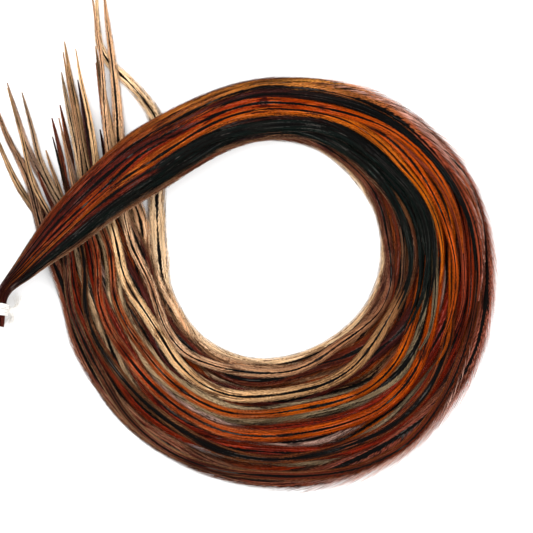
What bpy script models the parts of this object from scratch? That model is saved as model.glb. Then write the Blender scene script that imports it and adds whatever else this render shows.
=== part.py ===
"""A tied bunch of long rooster hackle feathers, curled into one flat loop.

Every size is in millimetres about the middle of the loop, seen from above with +X to the right and +Y
away from the viewer. Sizes become metres, and the origin moves under the middle of the bunch, when a
mesh is made. The bunch lies on z = 0: its butts are bound with cotton, its first stretch passes over
its own tips, and the tips fan out past it.

A place in the bunch is a station along it and a lane across it. The stations count from the butts (0)
to the last tips (24). The lane is 0 at the inner edge of the bunch and 1 at the outer edge. A layer is
a row of feathers at one height: feathers of one layer lie side by side and never cross, and feathers of
different layers cross freely, one above the other.
"""

import math
import random
from dataclasses import dataclass
from enum import Enum

import bmesh
import bpy
from mathutils import Matrix, Vector

MM = 0.001
MODEL = "rooster_hackle_bunch"

# Where the middle of the loop lies in the finished frame, whose origin is under the middle of the bunch
LOOP_CENTRE_X = 7.68
LOOP_CENTRE_Y = -3.6

# Edges of the bunch, inner then outer, from the butts up to the top of the loop
BASE_EDGES = (
    ((-67.0, -19.25), (-70.25, -18.5)),
    ((-66.5, -15.25), (-69.5, -14.25)),
    ((-66.1, -12.5), (-68.25, -9.5)),
    ((-59.2, -6.8), (-63.8, -2.8)),
    ((-47.2, 2.0), (-54.8, 10.0)),
    ((-36.0, 10.0), (-45.0, 20.2)),
    ((-26.0, 16.0), (-34.8, 30.0)),
)
# The loop, clockwise: inner and outer radius of the bunch at every LOOP_STEP degrees from LOOP_START
LOOP_START = 120.0
LOOP_STEP = 25.0
LOOP_RADII = (
    (27.4, 42.6),
    (27.6, 42.8),
    (27.9, 44.9),
    (27.4, 48.5),
    (28.0, 52.8),
    (27.9, 55.4),
    (27.6, 58.4),
    (27.0, 60.0),
    (27.4, 59.5),
    (28.2, 58.5),
    (28.0, 57.2),
    (27.3, 55.0),
)
# The fan of tips, from the last of the loop to the longest tips
FAN_EDGES = (
    ((-29.0, -3.0), (-54.2, -7.8)),
    ((-32.2, 6.2), (-57.2, 3.0)),
    ((-35.5, 17.5), (-62.5, 15.5)),
    ((-38.5, 35.0), (-67.5, 27.5)),
    ((-42.0, 57.5), (-71.5, 38.8)),
    ((-43.8, 72.5), (-74.0, 50.0)),
)

# Stations where every feather has a cross-section: sparse on the base, every 12.5 degrees round the loop
BASE_STATIONS = (0.0, 1.4, 2.0, 3.0, 4.0, 5.0, 6.0)
LOOP_FIRST = 6.5
FAN_LAST = 23.5
LAST_STATION = 24.0
STATION_STEP = 0.5
LOCATE_STEPS = 100
# Stations that the lanes are set at
TOP_OF_LOOP = 8.0
RIGHT_OF_LOOP = 12.0
FOOT_OF_LOOP = 15.0
START_OF_FAN = 18.0

# Height of the lowest layer's underside by station: up and over the tips, then down to the floor
LIFT = ((0, 1.1), (1.4, 1.1), (2, 1.5), (3, 3.95), (4, 4.3), (5.5, 4.3), (6, 4.1), (6.5, 3.5), (7, 2.4),
        (7.5, 1.2), (8, 0.35), (8.5, 0.0), (24, 0.0))
# Height from one layer to the next by station
LAYER_PITCH = ((0, 0.34), (2, 0.34), (3, 0.42), (4, 0.5), (5, 0.56), (6, 0.62), (7, 0.7), (8, 0.75),
               (20, 0.75), (22, 0.6), (24, 0.45))
# A feather's ridge stands this share of the layer pitch above its edges
RIDGE_SHARE = 0.66
# How far the outermost centre lines stay inside the edges of the bunch, by station
EDGE_MARGIN = ((0, 0.2), (2, 0.3), (3, 0.5), (4, 0.8), (5, 1.1), (6, 1.3), (24, 1.3))

VANE_WIDTH = 3.8
WIDTH_SPREAD = 0.15
TIP_WIDTH = 0.42
TIP_RIDGE_WIDTH = 1.2
TIP_TAPER_LENGTH = 95.0
TIP_TAPER_POWER = 0.42
QUILL_WIDTH = 0.24
QUILL_END = 2.0
VANE_SWELL_LENGTH = 38.0
SIDE_GAP = 0.3
SIDE_GAP_SPAN = 15.0
LANE_WANDER = 0.05
WANDER_STATIONS = (2.3, 4.1)
WANDER_END = 2.0

LAYER_COUNT = 8
QUILL_PACK_RADIUS = 1.78
QUILLS_SPREAD_FROM = 1.4
QUILLS_SPREAD_TO = 3.4

RING_STATION = 1.0
RING_HOLE_RADIUS = 1.9
RING_RADIUS = 2.4
RING_LENGTH = 3.2
RING_WINDINGS = 4
RING_GROOVE = 0.12
RING_STEPS = 16
KNOT_RADIUS = 1.0
KNOT_LENGTH = 1.3
KNOT_PLACE = (RING_RADIUS + 0.15, -0.5, 0.1)
TAIL_RADIUS = 0.42
# Vertices closer than this are one
WELD = 0.001


class Colour(Enum):
    """Natural colours of the feathers and the binding: name, linear RGB and roughness."""

    TAN = ("tan_feather", (0.58, 0.35, 0.14), 0.5)
    ORANGE = ("orange_feather", (0.46, 0.065, 0.006), 0.42)
    MAHOGANY = ("mahogany_feather", (0.2, 0.022, 0.006), 0.42)
    WINE = ("wine_feather", (0.045, 0.008, 0.009), 0.4)
    BLACK = ("black_feather", (0.008, 0.01, 0.009), 0.32)
    OLIVE = ("olive_feather", (0.2, 0.13, 0.075), 0.48)
    COTTON = ("cotton_binding", (0.86, 0.86, 0.84), 0.9)


@dataclass(frozen=True)
class Layer:
    """One row of feathers: the lanes of its first and last feather at four stations, and each feather.

    A feather is its colour and the place of its tip, from the inside of the row to the outside.
    """

    top: tuple
    right: tuple
    foot: tuple
    fan: tuple
    feathers: tuple


# Tips by place, mm from the middle of the loop. The two upper groups end on the right of the loop
LAYERS = (
    Layer(
        top=(0.07, 1.0),
        right=(0.05, 0.97),
        foot=(0.03, 0.95),
        fan=(0.06, 0.95),
        feathers=(
            (Colour.TAN, (-42.0, 41.5)),
            (Colour.WINE, (-43.0, 30.0)),
            (Colour.TAN, (-49.8, 38.8)),
            (Colour.MAHOGANY, (-53.0, 36.2)),
            (Colour.TAN, (-66.2, 41.8)),
            (Colour.TAN, (-69.8, 30.5)),
        ),
    ),
    Layer(
        top=(-0.01, 0.93),
        right=(-0.01, 0.99),
        foot=(-0.01, 0.91),
        fan=(0.0, 1.0),
        feathers=(
            (Colour.TAN, (-43.8, 66.5)),
            (Colour.TAN, (-46.8, 37.5)),
            (Colour.TAN, (-51.9, 52.2)),
            (Colour.MAHOGANY, (-49.2, 25.0)),
            (Colour.ORANGE, (-56.5, 25.0)),
            (Colour.MAHOGANY, (-61.2, 21.8)),
        ),
    ),
    Layer(
        top=(0.03, 0.97),
        right=(0.06, 0.9),
        foot=(0.1, 1.0),
        fan=(0.04, 0.88),
        feathers=(
            (Colour.TAN, (-42.2, 65.5)),
            (Colour.MAHOGANY, (-44.0, 47.0)),
            (Colour.TAN, (-51.0, 46.8)),
            (Colour.TAN, (-52.0, 27.5)),
            (Colour.OLIVE, (-62.5, 39.5)),
            (Colour.WINE, (-62.2, 23.0)),
        ),
    ),
    Layer(
        top=(0.08, 0.9),
        right=(0.15, 1.0),
        foot=(0.12, 0.94),
        fan=(0.1, 1.0),
        feathers=(
            (Colour.TAN, (-44.2, 51.2)),
            (Colour.WINE, (-48.5, 42.5)),
            (Colour.OLIVE, (-52.6, 44.5)),
            (Colour.MAHOGANY, (-55.0, 33.0)),
            (Colour.WINE, (-58.5, 19.5)),
            (Colour.TAN, (-70.0, 39.5)),
        ),
    ),
    Layer(
        top=(0.0, 1.0),
        right=(0.02, 0.88),
        foot=(0.06, 1.0),
        fan=(0.14, 0.93),
        feathers=(
            (Colour.TAN, (-45.2, 65.0)),
            (Colour.TAN, (-49.1, 50.5)),
            (Colour.ORANGE, (-52.2, 49.5)),
            (Colour.ORANGE, (-53.2, 33.0)),
            (Colour.BLACK, (-54.8, 28.2)),
            (Colour.MAHOGANY, (-66.0, 40.5)),
        ),
    ),
    Layer(
        top=(0.04, 0.97),
        right=(0.14, 0.95),
        foot=(0.26, 0.95),
        fan=(0.26, 0.95),
        feathers=(
            (Colour.WINE, (31.0, -12.5)),
            (Colour.BLACK, (34.0, -18.0)),
            (Colour.OLIVE, (37.0, -25.0)),
            (Colour.ORANGE, (41.2, -28.8)),
            (Colour.MAHOGANY, (46.0, -25.5)),
            (Colour.MAHOGANY, (53.0, -3.0)),
        ),
    ),
    Layer(
        top=(0.12, 0.88),
        right=(0.33, 0.9),
        foot=(0.42, 0.9),
        fan=(0.42, 0.9),
        feathers=(
            (Colour.BLACK, (31.5, -15.0)),
            (Colour.BLACK, (35.8, -20.0)),
            (Colour.ORANGE, (42.0, -23.8)),
            (Colour.ORANGE, (45.8, -20.0)),
            (Colour.ORANGE, (51.5, -12.5)),
        ),
    ),
    Layer(
        top=(0.2, 0.74),
        right=(0.4, 0.8),
        foot=(0.46, 0.84),
        fan=(0.46, 0.84),
        feathers=(
            (Colour.BLACK, (33.2, -21.2)),
            (Colour.BLACK, (39.5, -11.5)),
            (Colour.ORANGE, (42.2, -8.2)),
            (Colour.ORANGE, (47.8, -0.8)),
            (Colour.BLACK, (50.8, -5.0)),
        ),
    ),
)

# The innermost feather leaves the bunch before the fan, passes under the first stretch and comes back. These
# are places on its way, and the extra stations that its bends need
STRAY_LAYER = 1
STRAY_PLACES = (
    (-24.9, -14.2),
    (-27.1, -8.0),
    (-28.2, -1.0),
    (-28.7, 7.5),
    (-28.7, 15.0),
    (-28.7, 33.0),
    (-32.2, 37.8),
    (-36.5, 42.5),
    (-40.5, 46.5),
    (-42.8, 49.5),
    (-43.5, 53.5),
    (-43.8, 66.5),
)
STRAY_STATIONS = (21.75, 22.25, 22.75)
STRAY_WIDTH = 0.85


def smoothstep(share):
    """Ease from 0 to 1 as share goes from 0 to 1."""
    share = min(max(share, 0.0), 1.0)
    return share * share * (3.0 - 2.0 * share)


def keyed(keys, station):
    """Value at a station, in straight runs between (station, value) keys."""
    for (start, low), (end, high) in zip(keys, keys[1:]):
        if station <= end:
            return low + (high - low) * max(station - start, 0.0) / (end - start)
    return keys[-1][1]


def eased(keys, station):
    """Value at a station, eased between (station, value) keys."""
    for (start, low), (end, high) in zip(keys, keys[1:]):
        if station <= end:
            return low + (high - low) * smoothstep((station - start) / (end - start))
    return keys[-1][1]


def edge_points(side):
    """Points of one edge of the bunch, a point for each whole station. Side 0 is the inner edge."""
    points = [Vector(pair[side]) for pair in BASE_EDGES]
    for step, radii in enumerate(LOOP_RADII):
        angle = math.radians(LOOP_START - step * LOOP_STEP)
        points.append(Vector((math.cos(angle), math.sin(angle))) * radii[side])
    points.extend(Vector(pair[side]) for pair in FAN_EDGES)
    return points


EDGES = (edge_points(0), edge_points(1))


def through(points, station):
    """A point on the smooth curve through points, by station."""
    last = len(points) - 1
    index = min(int(station), last - 1)
    share = station - index
    before, start, end, after = (points[min(max(index + k, 0), last)] for k in (-1, 0, 1, 2))
    return (
        start
        + (end - before) * 0.5 * share
        + (before * 2 - start * 5 + end * 4 - after) * 0.5 * share**2
        + (start * 3 - before - end * 3 + after) * 0.5 * share**3
    )


def cross_line(station):
    """Inner and outer end of the line across the bunch at a station."""
    return through(EDGES[0], station), through(EDGES[1], station)


def all_stations():
    """Every station that feathers have a cross-section at."""
    steps = round((FAN_LAST - LOOP_FIRST) / STATION_STEP)
    return list(BASE_STATIONS) + [LOOP_FIRST + k * STATION_STEP for k in range(steps + 1)]


def locate(point, first, last):
    """Station and lane of a place, looked for between two stations."""
    target, best = Vector(point), None
    for step in range(int((last - first) * LOCATE_STEPS)):
        station = first + step / LOCATE_STEPS
        inner, outer = cross_line(station)
        margin = keyed(EDGE_MARGIN, station)
        across = outer - inner
        share = (target - inner).dot(across) / across.length_squared
        miss = (inner + across * share - target).length
        lane = (share * across.length - margin) / (across.length - 2 * margin)
        if best is None or miss < best[0]:
            best = (miss, station, lane)
    return best[1], best[2]


@dataclass
class Plume:
    """One feather's place in the bunch.

    Its lane keys are (station, lane) pairs up to its tip, and its quill offset is its distance from the
    middle of the bunch inside the binding.
    """

    name: str
    colour: Colour
    layer: int
    stations: list
    lane_keys: list
    quill_offset: float
    width: float
    wander: tuple
    is_stray: bool

    def lane(self, station):
        """Lane at a station, with the slow wander of a feather that lies loose in the bunch."""
        waves = zip(WANDER_STATIONS, self.wander)
        sway = sum(math.sin(station * math.tau / length + phase) for length, phase in waves)
        if self.is_stray:
            return keyed(self.lane_keys, station)
        room = smoothstep((self.stations[-1] - station) / WANDER_END)
        return eased(self.lane_keys, station) + LANE_WANDER * 0.5 * sway * room

    def offset(self, station):
        """Distance from the middle of the bunch, towards its outer edge."""
        inner, outer = cross_line(station)
        span = (outer - inner).length - 2 * keyed(EDGE_MARGIN, station)
        spread = smoothstep((station - QUILLS_SPREAD_FROM) / (QUILLS_SPREAD_TO - QUILLS_SPREAD_FROM))
        return spread * (self.lane(station) - 0.5) * span + (1 - spread) * self.quill_offset

    def height(self, station):
        """Height of the underside."""
        return keyed(LIFT, station) + self.layer * keyed(LAYER_PITCH, station)


def quill_offsets(layer, count):
    """Places of a layer's quills across the binding, whose quills fill a circle."""
    pitch = LAYER_PITCH[0][1]
    half_pack = ((LAYER_COUNT - 1) * pitch + pitch * RIDGE_SHARE) / 2
    low = layer * pitch - half_pack
    high = low + pitch * RIDGE_SHARE
    reach = math.sqrt(QUILL_PACK_RADIUS**2 - max(abs(low), abs(high)) ** 2) - QUILL_WIDTH / 2
    return [reach * (2 * lane / (count - 1) - 1) for lane in range(count)]


def make_plumes():
    """Set out every feather, layer by layer from the floor up."""
    rng = random.Random(11)
    numbers = {colour: 0 for colour in Colour}
    rows = []
    for index, layer in enumerate(LAYERS):
        row = []
        count = len(layer.feathers)
        long_row = layer.feathers[0][1][0] < 0
        offsets = quill_offsets(index, count)
        for place, (colour, tip) in enumerate(layer.feathers):
            share = place / (count - 1)
            first, last = (START_OF_FAN + 1, LAST_STATION) if long_row else (TOP_OF_LOOP, FOOT_OF_LOOP)
            tip_station, tip_lane = locate(tip, first, last)
            spans = ((0.0, layer.top), (TOP_OF_LOOP, layer.top), (RIGHT_OF_LOOP, layer.right),
                     (FOOT_OF_LOOP, layer.foot), (START_OF_FAN, layer.fan))
            keys = [
                (station, low + (high - low) * share)
                for station, (low, high) in spans
                if station < tip_station - 1
            ]
            keys.append((tip_station, tip_lane))
            stations = [s for s in all_stations() if s < tip_station - STATION_STEP / 4]
            width = VANE_WIDTH * (1 + WIDTH_SPREAD * rng.uniform(-1, 1))
            is_stray = index == STRAY_LAYER and place == 0
            if is_stray:
                keys = keys[:-2] + [
                    locate(spot, FOOT_OF_LOOP, LAST_STATION) for spot in STRAY_PLACES
                ]
                stations = sorted(stations + list(STRAY_STATIONS))
                width = VANE_WIDTH * STRAY_WIDTH
            numbers[colour] += 1
            name = f"{colour.value[0]}_{numbers[colour]:02d}"
            wander = tuple(rng.uniform(0, math.tau) for _ in WANDER_STATIONS)
            stations.append(tip_station)
            row.append(Plume(name, colour, index, stations, keys, offsets[place], width, wander, is_stray))
        rows.append(row)
    return rows


def point_at(plume, station):
    """Centre line at a station, on the same straight runs between shared stations as its neighbours."""
    shared = all_stations()
    before = max((s for s in shared if s <= station), default=shared[0])
    after = min((s for s in shared if s > station), default=before)
    inner, outer = cross_line(before)
    if after > before:
        share = (station - before) / (after - before)
        inner_after, outer_after = cross_line(after)
        inner, outer = inner.lerp(inner_after, share), outer.lerp(outer_after, share)
    across = (outer - inner).normalized()
    return (inner + outer) / 2 + across * plume.offset(station), across, (outer - inner).length


def room_beside(plume, row, station, span):
    """Half the width that a feather may have at a station, between its neighbours and the edges."""
    offset = plume.offset(station)
    held_in = QUILLS_SPREAD_TO < station < START_OF_FAN and not plume.is_stray
    room = [span / 2 - abs(offset)] if held_in else []
    for other in row:
        if other is not plume and other.stations[-1] > station - STATION_STEP:
            gap = SIDE_GAP * min(span / SIDE_GAP_SPAN, 1.0)
            room.append((abs(other.offset(station) - offset) - gap) / 2)
    return min(room, default=plume.width)


def sections(plume, row):
    """Cross-sections of a feather from butt to tip: middle of the underside, across, width and ridge."""
    spots = [point_at(plume, station) for station in plume.stations]
    travelled = [0.0]
    for (here, _, _), (there, _, _) in zip(spots, spots[1:]):
        travelled.append(travelled[-1] + (there - here).length)
    quill_end = next(t for t, s in zip(travelled, plume.stations) if s >= QUILL_END)
    result = []
    for (spot, across, span), station, distance in zip(spots, plume.stations, travelled):
        swell = smoothstep((distance - quill_end) / VANE_SWELL_LENGTH)
        to_tip = travelled[-1] - distance
        taper = min(to_tip / TIP_TAPER_LENGTH, 1.0) ** TIP_TAPER_POWER
        wanted = QUILL_WIDTH + (plume.width - QUILL_WIDTH) * swell * taper
        room = 2 * room_beside(plume, row, station, span)
        width = TIP_WIDTH if to_tip == 0 else max(min(wanted, room), QUILL_WIDTH)
        ridge = keyed(LAYER_PITCH, station) * RIDGE_SHARE
        if to_tip < TIP_TAPER_LENGTH:
            ridge *= min(width / TIP_RIDGE_WIDTH, 1.0)
        result.append((spot, across, width, ridge, plume.height(station)))
    return result


def feather_mesh(plume, row):
    """Loft a feather: a flat underside, two vanes that slope up to the shaft, and small flat ends."""
    mesh = bmesh.new()
    rings = []
    for spot, across, width, ridge, height in sections(plume, row):
        corners = (
            (spot + across * (width / 2), height),
            (spot, height + ridge),
            (spot - across * (width / 2), height),
        )
        rings.append([mesh.verts.new(in_frame(x, y, z)) for (x, y), z in corners])
    for ring, after in zip(rings, rings[1:]):
        for k in range(3):
            mesh.faces.new((ring[k], ring[(k + 1) % 3], after[(k + 1) % 3], after[k]))
    mesh.faces.new(rings[0][::-1])
    mesh.faces.new(rings[-1])
    bmesh.ops.recalc_face_normals(mesh, faces=mesh.faces)
    data = bpy.data.meshes.new(plume.name)
    mesh.to_mesh(data)
    mesh.free()
    return data


def in_frame(x, y, z):
    """A place in millimetres about the loop as metres in the finished frame."""
    return Vector((x + LOOP_CENTRE_X, y + LOOP_CENTRE_Y, z)) * MM


def material(colour):
    """Principled material of a colour, made once."""
    name, rgb, roughness = colour.value
    found = bpy.data.materials.get(name)
    if found:
        return found
    made = bpy.data.materials.new(name)
    made.use_nodes = True
    shader = made.node_tree.nodes["Principled BSDF"]
    shader.inputs["Base Color"].default_value = (*rgb, 1.0)
    shader.inputs["Roughness"].default_value = roughness
    shader.inputs["Metallic"].default_value = 0.0
    made.diffuse_color = (*rgb, 1.0)
    return made


def add_object(name, data, colour, collection):
    """Add an object with its material to a collection."""
    made = bpy.data.objects.new(name, data)
    data.materials.append(material(colour))
    collection.objects.link(made)
    return made


def ring_profile():
    """Closed half-section of the binding, wound in rounded turns, running down its outer side."""
    points_per_winding = 2
    half = RING_LENGTH / 2
    count = RING_WINDINGS * points_per_winding
    outer = []
    for k in range(count + 1):
        share = k / count
        turn = abs(math.sin(share * RING_WINDINGS * math.pi))
        outer.append((RING_RADIUS - RING_GROOVE * (1 - turn), half - share * RING_LENGTH))
    return outer + [(RING_HOLE_RADIUS, -half), (RING_HOLE_RADIUS, half)]


def tie_frame():
    """Place of the binding: its middle on the quills, its own Z axis along them."""
    inner, outer = cross_line(RING_STATION)
    middle = (inner + outer) / 2
    butts = sum(cross_line(0.0), Vector((0, 0))) / 2
    along = Vector((*(middle - butts).normalized(), 0))
    across = Vector((along.y, -along.x, 0))
    up = Vector((0, 0, 1))
    turn = Matrix((across, up, along)).transposed()
    return Matrix.Translation(in_frame(middle.x, middle.y, RING_RADIUS)) @ turn.to_4x4()


def evaluated_mesh(source):
    """Mesh of an object with its modifiers applied."""
    source_eval = source.evaluated_get(bpy.context.evaluated_depsgraph_get())
    return bpy.data.meshes.new_from_object(source_eval)


def tail_mesh(points, collection):
    """A cotton tail as a tube along points, in millimetres in the binding's own frame."""
    curve = bpy.data.curves.new("tail", "CURVE")
    curve.dimensions = "3D"
    curve.bevel_depth = TAIL_RADIUS * MM
    curve.bevel_resolution = 1
    curve.use_fill_caps = True
    spline = curve.splines.new("POLY")
    spline.points.add(len(points) - 1)
    for target, (x, y, z, share) in zip(spline.points, points):
        target.co = (x * MM, y * MM, z * MM, 1.0)
        target.radius = share
    holder = bpy.data.objects.new("tail", curve)
    collection.objects.link(holder)
    mesh = evaluated_mesh(holder)
    bpy.data.objects.remove(holder)
    clean = bmesh.new()
    clean.from_mesh(mesh)
    bmesh.ops.remove_doubles(clean, verts=clean.verts, dist=WELD * MM)
    bmesh.ops.recalc_face_normals(clean, faces=clean.faces)
    clean.to_mesh(mesh)
    clean.free()
    return mesh


def tail_routes():
    """Middle lines of the two frayed tails.

    A point is x to the right of the quills, y up, z along them, and its share of the tail's radius.
    """
    floor = TAIL_RADIUS - RING_RADIUS
    upper_tail = (
        (2.6, -0.6, 0.4, 1.0),
        (3.6, -1.4, 0.9, 1.0),
        (4.3, floor + 0.25, 2.1, 1.1),
        (4.1, floor + 0.2, 3.6, 0.6),
    )
    lower_tail = (
        (2.5, -0.9, -0.2, 1.0),
        (3.2, floor + 0.3, -1.2, 1.0),
        (3.0, floor + 0.2, -3.0, 0.6),
    )
    return upper_tail, lower_tail


def make_binding(collection, cutters):
    """The cotton binding: windings round the quills, a knot at their side and two short frayed tails."""
    profile = ring_profile()
    data = bpy.data.meshes.new("windings")
    loop = [(k, (k + 1) % len(profile)) for k in range(len(profile))]
    data.from_pydata([(x * MM, 0.0, z * MM) for x, z in profile], loop, [])
    windings = bpy.data.objects.new("windings", data)
    cutters.objects.link(windings)
    turned = windings.modifiers.new("turned", "SCREW")
    turned.axis = "Z"
    turned.steps = RING_STEPS
    turned.render_steps = RING_STEPS
    turned.use_merge_vertices = True
    turned.merge_threshold = WELD * MM
    body = add_object("cotton_binding", evaluated_mesh(windings), Colour.COTTON, collection)
    bpy.data.objects.remove(windings)
    body.matrix_world = tie_frame()

    knot = bmesh.new()
    bmesh.ops.create_uvsphere(knot, u_segments=8, v_segments=5, radius=KNOT_RADIUS * MM)
    bmesh.ops.scale(knot, vec=(1, 1, KNOT_LENGTH), verts=knot.verts)
    bmesh.ops.translate(knot, vec=Vector(KNOT_PLACE) * MM, verts=knot.verts)
    knot_data = bpy.data.meshes.new("knot")
    knot.to_mesh(knot_data)
    knot.free()
    pieces = [knot_data] + [tail_mesh(route, cutters) for route in tail_routes()]
    for number, piece in enumerate(pieces):
        part = bpy.data.objects.new(f"binding_piece_{number}", piece)
        part.matrix_world = body.matrix_world
        part.hide_render = True
        part.display_type = "WIRE"
        cutters.objects.link(part)
        joined = body.modifiers.new(f"joined_{number}", "BOOLEAN")
        joined.operation = "UNION"
        joined.object = part


def clear_scene():
    """Remove the objects that the scene starts with."""
    for item in list(bpy.data.objects):
        bpy.data.objects.remove(item)


def main():
    """Build the bunch."""
    clear_scene()
    collection = bpy.data.collections.new(MODEL)
    cutters = bpy.data.collections.new("cutters")
    bpy.context.scene.collection.children.link(collection)
    bpy.context.scene.collection.children.link(cutters)
    for row in make_plumes():
        for plume in row:
            add_object(plume.name, feather_mesh(plume, row), plume.colour, collection)
    make_binding(collection, cutters)


main()
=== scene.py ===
"""Looks of a tied bunch of long rooster hackle feathers, curled into one flat loop.

Every feather is grown on its CAD solid: the solid's cross-sections give the shaft's line, the width of its
two vanes and their slope, and Geometry Nodes set a barb on each side of the shaft every 0.36 mm.
Sizes are in millimetres and become metres with MM.
"""

import logging
import math
import random
from dataclasses import dataclass, field
from enum import Enum
from functools import partial
from typing import Callable

import bmesh
import bpy
from mathutils import Matrix, Vector


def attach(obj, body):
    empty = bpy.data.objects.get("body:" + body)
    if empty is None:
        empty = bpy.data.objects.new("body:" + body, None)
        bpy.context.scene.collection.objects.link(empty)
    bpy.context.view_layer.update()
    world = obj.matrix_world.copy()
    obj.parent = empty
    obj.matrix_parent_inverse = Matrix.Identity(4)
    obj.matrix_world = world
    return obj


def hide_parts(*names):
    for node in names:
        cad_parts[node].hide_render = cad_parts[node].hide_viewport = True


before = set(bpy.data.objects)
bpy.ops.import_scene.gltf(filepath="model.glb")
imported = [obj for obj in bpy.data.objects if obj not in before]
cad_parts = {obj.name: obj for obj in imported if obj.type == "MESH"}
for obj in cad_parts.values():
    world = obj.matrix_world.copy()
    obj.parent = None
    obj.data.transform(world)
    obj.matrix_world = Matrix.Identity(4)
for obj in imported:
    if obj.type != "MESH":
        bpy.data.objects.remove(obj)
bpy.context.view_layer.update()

MM = 0.001
BODY = "root"
LOG = logging.getLogger("hackles")

# Places of the solids' sections along the bunch: the base's own, then even steps to the longest tips
BASE_STATIONS = (0.0, 1.4, 2.0, 3.0, 4.0, 5.0, 6.0)
STATION_STEP = 0.5
LAST_STATION = 24.0

UP = Vector((0.0, 0.0, 1.0))

# What an input takes from another node, inputs by name or number, a function that adds nodes to one tree,
# and the attributes that a finish reads
Source = bpy.types.Node | bpy.types.NodeSocket
Inputs = dict[int | str, object]
Adder = Callable[..., bpy.types.Node]
Readings = dict[str, bpy.types.NodeSocket]
# A thread's way, which is places with its radius at each, and the few spots that lead a frayed end
Route = list[tuple[float, ...]]
Spots = tuple[tuple[float, float, float], ...]

UV_MAP = "OFBake"

# Names of the attributes that the barbs carry and their finishes read
ALONG_BUNCH = "along_bunch"
ALONG_BARB = "along_barb"
BARB_TONE = "barb_tone"
CLUMP_TONE = "clump_tone"
FEATHER_TONE = "feather_tone"
FLUFF = "fluff"
# Names of the attributes that lead the barbs and are dropped once they are grown
ACROSS = "across"
VANE = "vane"
LOOSE = "loose"
SHAFT_RADIUS = "shaft_radius"
ARC = "arc"
BARB_EDGE = "barb_edge"
BARB_SIDE = "barb_side"
BARB_NUMBER = "barb_number"
STRAY_TONE = "stray_tone"
LEADERS = (ACROSS, VANE, LOOSE, SHAFT_RADIUS, ARC, BARB_EDGE, BARB_SIDE, BARB_NUMBER, STRAY_TONE)


def linear(hex_colour: str) -> tuple[float, float, float, float]:
    """Turn an sRGB hex colour into linear RGBA.

    Args:
        hex_colour: Six hex digits, with or without a leading hash.

    Returns:
        Red, green, blue and an alpha of 1.
    """
    digits = hex_colour.lstrip("#")
    channels = [int(digits[k : k + 2], 16) / 255 for k in (0, 2, 4)]
    red, green, blue = (c / 12.92 if c <= 0.04045 else ((c + 0.055) / 1.055) ** 2.4 for c in channels)
    return red, green, blue, 1.0


def smoothstep(share: float) -> float:
    """Ease from 0 to 1 as share goes from 0 to 1."""
    share = min(max(share, 0.0), 1.0)
    return share * share * (3.0 - 2.0 * share)


MATH, VECTOR_MATH, NOISE = "ShaderNodeMath", "ShaderNodeVectorMath", "ShaderNodeTexNoise"
NOISE_SIZES = ("Scale", "Detail", "Roughness")


class Kind(Enum):
    """Kinds of node: the type, the inputs that a list of values fills in order, and the settings."""

    ADD = (MATH, range(2), {"operation": "ADD"})
    SUBTRACT = (MATH, range(2), {"operation": "SUBTRACT"})
    MULTIPLY = (MATH, range(2), {"operation": "MULTIPLY"})
    DIVIDE = (MATH, range(2), {"operation": "DIVIDE"})
    POWER = (MATH, range(2), {"operation": "POWER"})
    MULTIPLY_ADD = (MATH, range(3), {"operation": "MULTIPLY_ADD"})
    COMPARE = (MATH, range(3), {"operation": "COMPARE"})
    VECTOR_ADD = (VECTOR_MATH, range(2), {"operation": "ADD"})
    VECTOR_MAXIMUM = (VECTOR_MATH, range(2), {"operation": "MAXIMUM"})
    VECTOR_CROSS_PRODUCT = (VECTOR_MATH, range(2), {"operation": "CROSS_PRODUCT"})
    VECTOR_SCALE = (VECTOR_MATH, (0, "Scale"), {"operation": "SCALE"})
    COMBINE = ("ShaderNodeCombineXYZ", (0, 1), {})
    SEPARATE = ("ShaderNodeSeparateXYZ", (0,), {})
    RANGE = ("ShaderNodeMapRange", range(5), {})
    SMOOTH_RANGE = ("ShaderNodeMapRange", range(5), {"interpolation_type": "SMOOTHSTEP"})
    MIX = ("ShaderNodeMix", (0, 6, 7), {"data_type": "RGBA"})
    NOISE_1D = (NOISE, ("W", *NOISE_SIZES), {"noise_dimensions": "1D"})
    NOISE_2D = (NOISE, ("Vector", *NOISE_SIZES), {"noise_dimensions": "2D"})
    NOISE_3D = (NOISE, ("Vector", *NOISE_SIZES), {"noise_dimensions": "3D"})
    BUMP = ("ShaderNodeBump", ("Strength", "Distance", "Height"), {})
    SWITCH = ("GeometryNodeSwitch", ("Switch", "False", "True"), {"input_type": "FLOAT"})
    CHANCE = ("FunctionNodeRandomValue", ("Min", "Max", "ID", "Seed"), {"data_type": "FLOAT"})
    STORE = (
        "GeometryNodeStoreNamedAttribute",
        ("Geometry", "Name", "Value"),
        {"data_type": "FLOAT", "domain": "POINT"},
    )
    SAMPLE = (
        "GeometryNodeSampleCurve",
        ("Curves", "Value", "Length"),
        {"data_type": "FLOAT_VECTOR", "mode": "LENGTH", "use_all_curves": True},
    )


def feed_node(tree: bpy.types.NodeTree, node: bpy.types.Node, inputs: Inputs) -> None:
    """Give a node its inputs.

    Args:
        tree: The tree that the node is in.
        node: The node.
        inputs: What each input gets. A socket is linked, a node is linked by its first output in use, a list
            is taken part by part, and anything else is set as a value.
    """
    for key, value in inputs.items():
        for part in value if isinstance(value, list) else [value]:
            if isinstance(part, bpy.types.Node):
                part = next(socket for socket in part.outputs if socket.enabled)
            if isinstance(part, bpy.types.NodeSocket):
                tree.links.new(part, node.inputs[key])
            else:
                node.inputs[key].default_value = part


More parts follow.
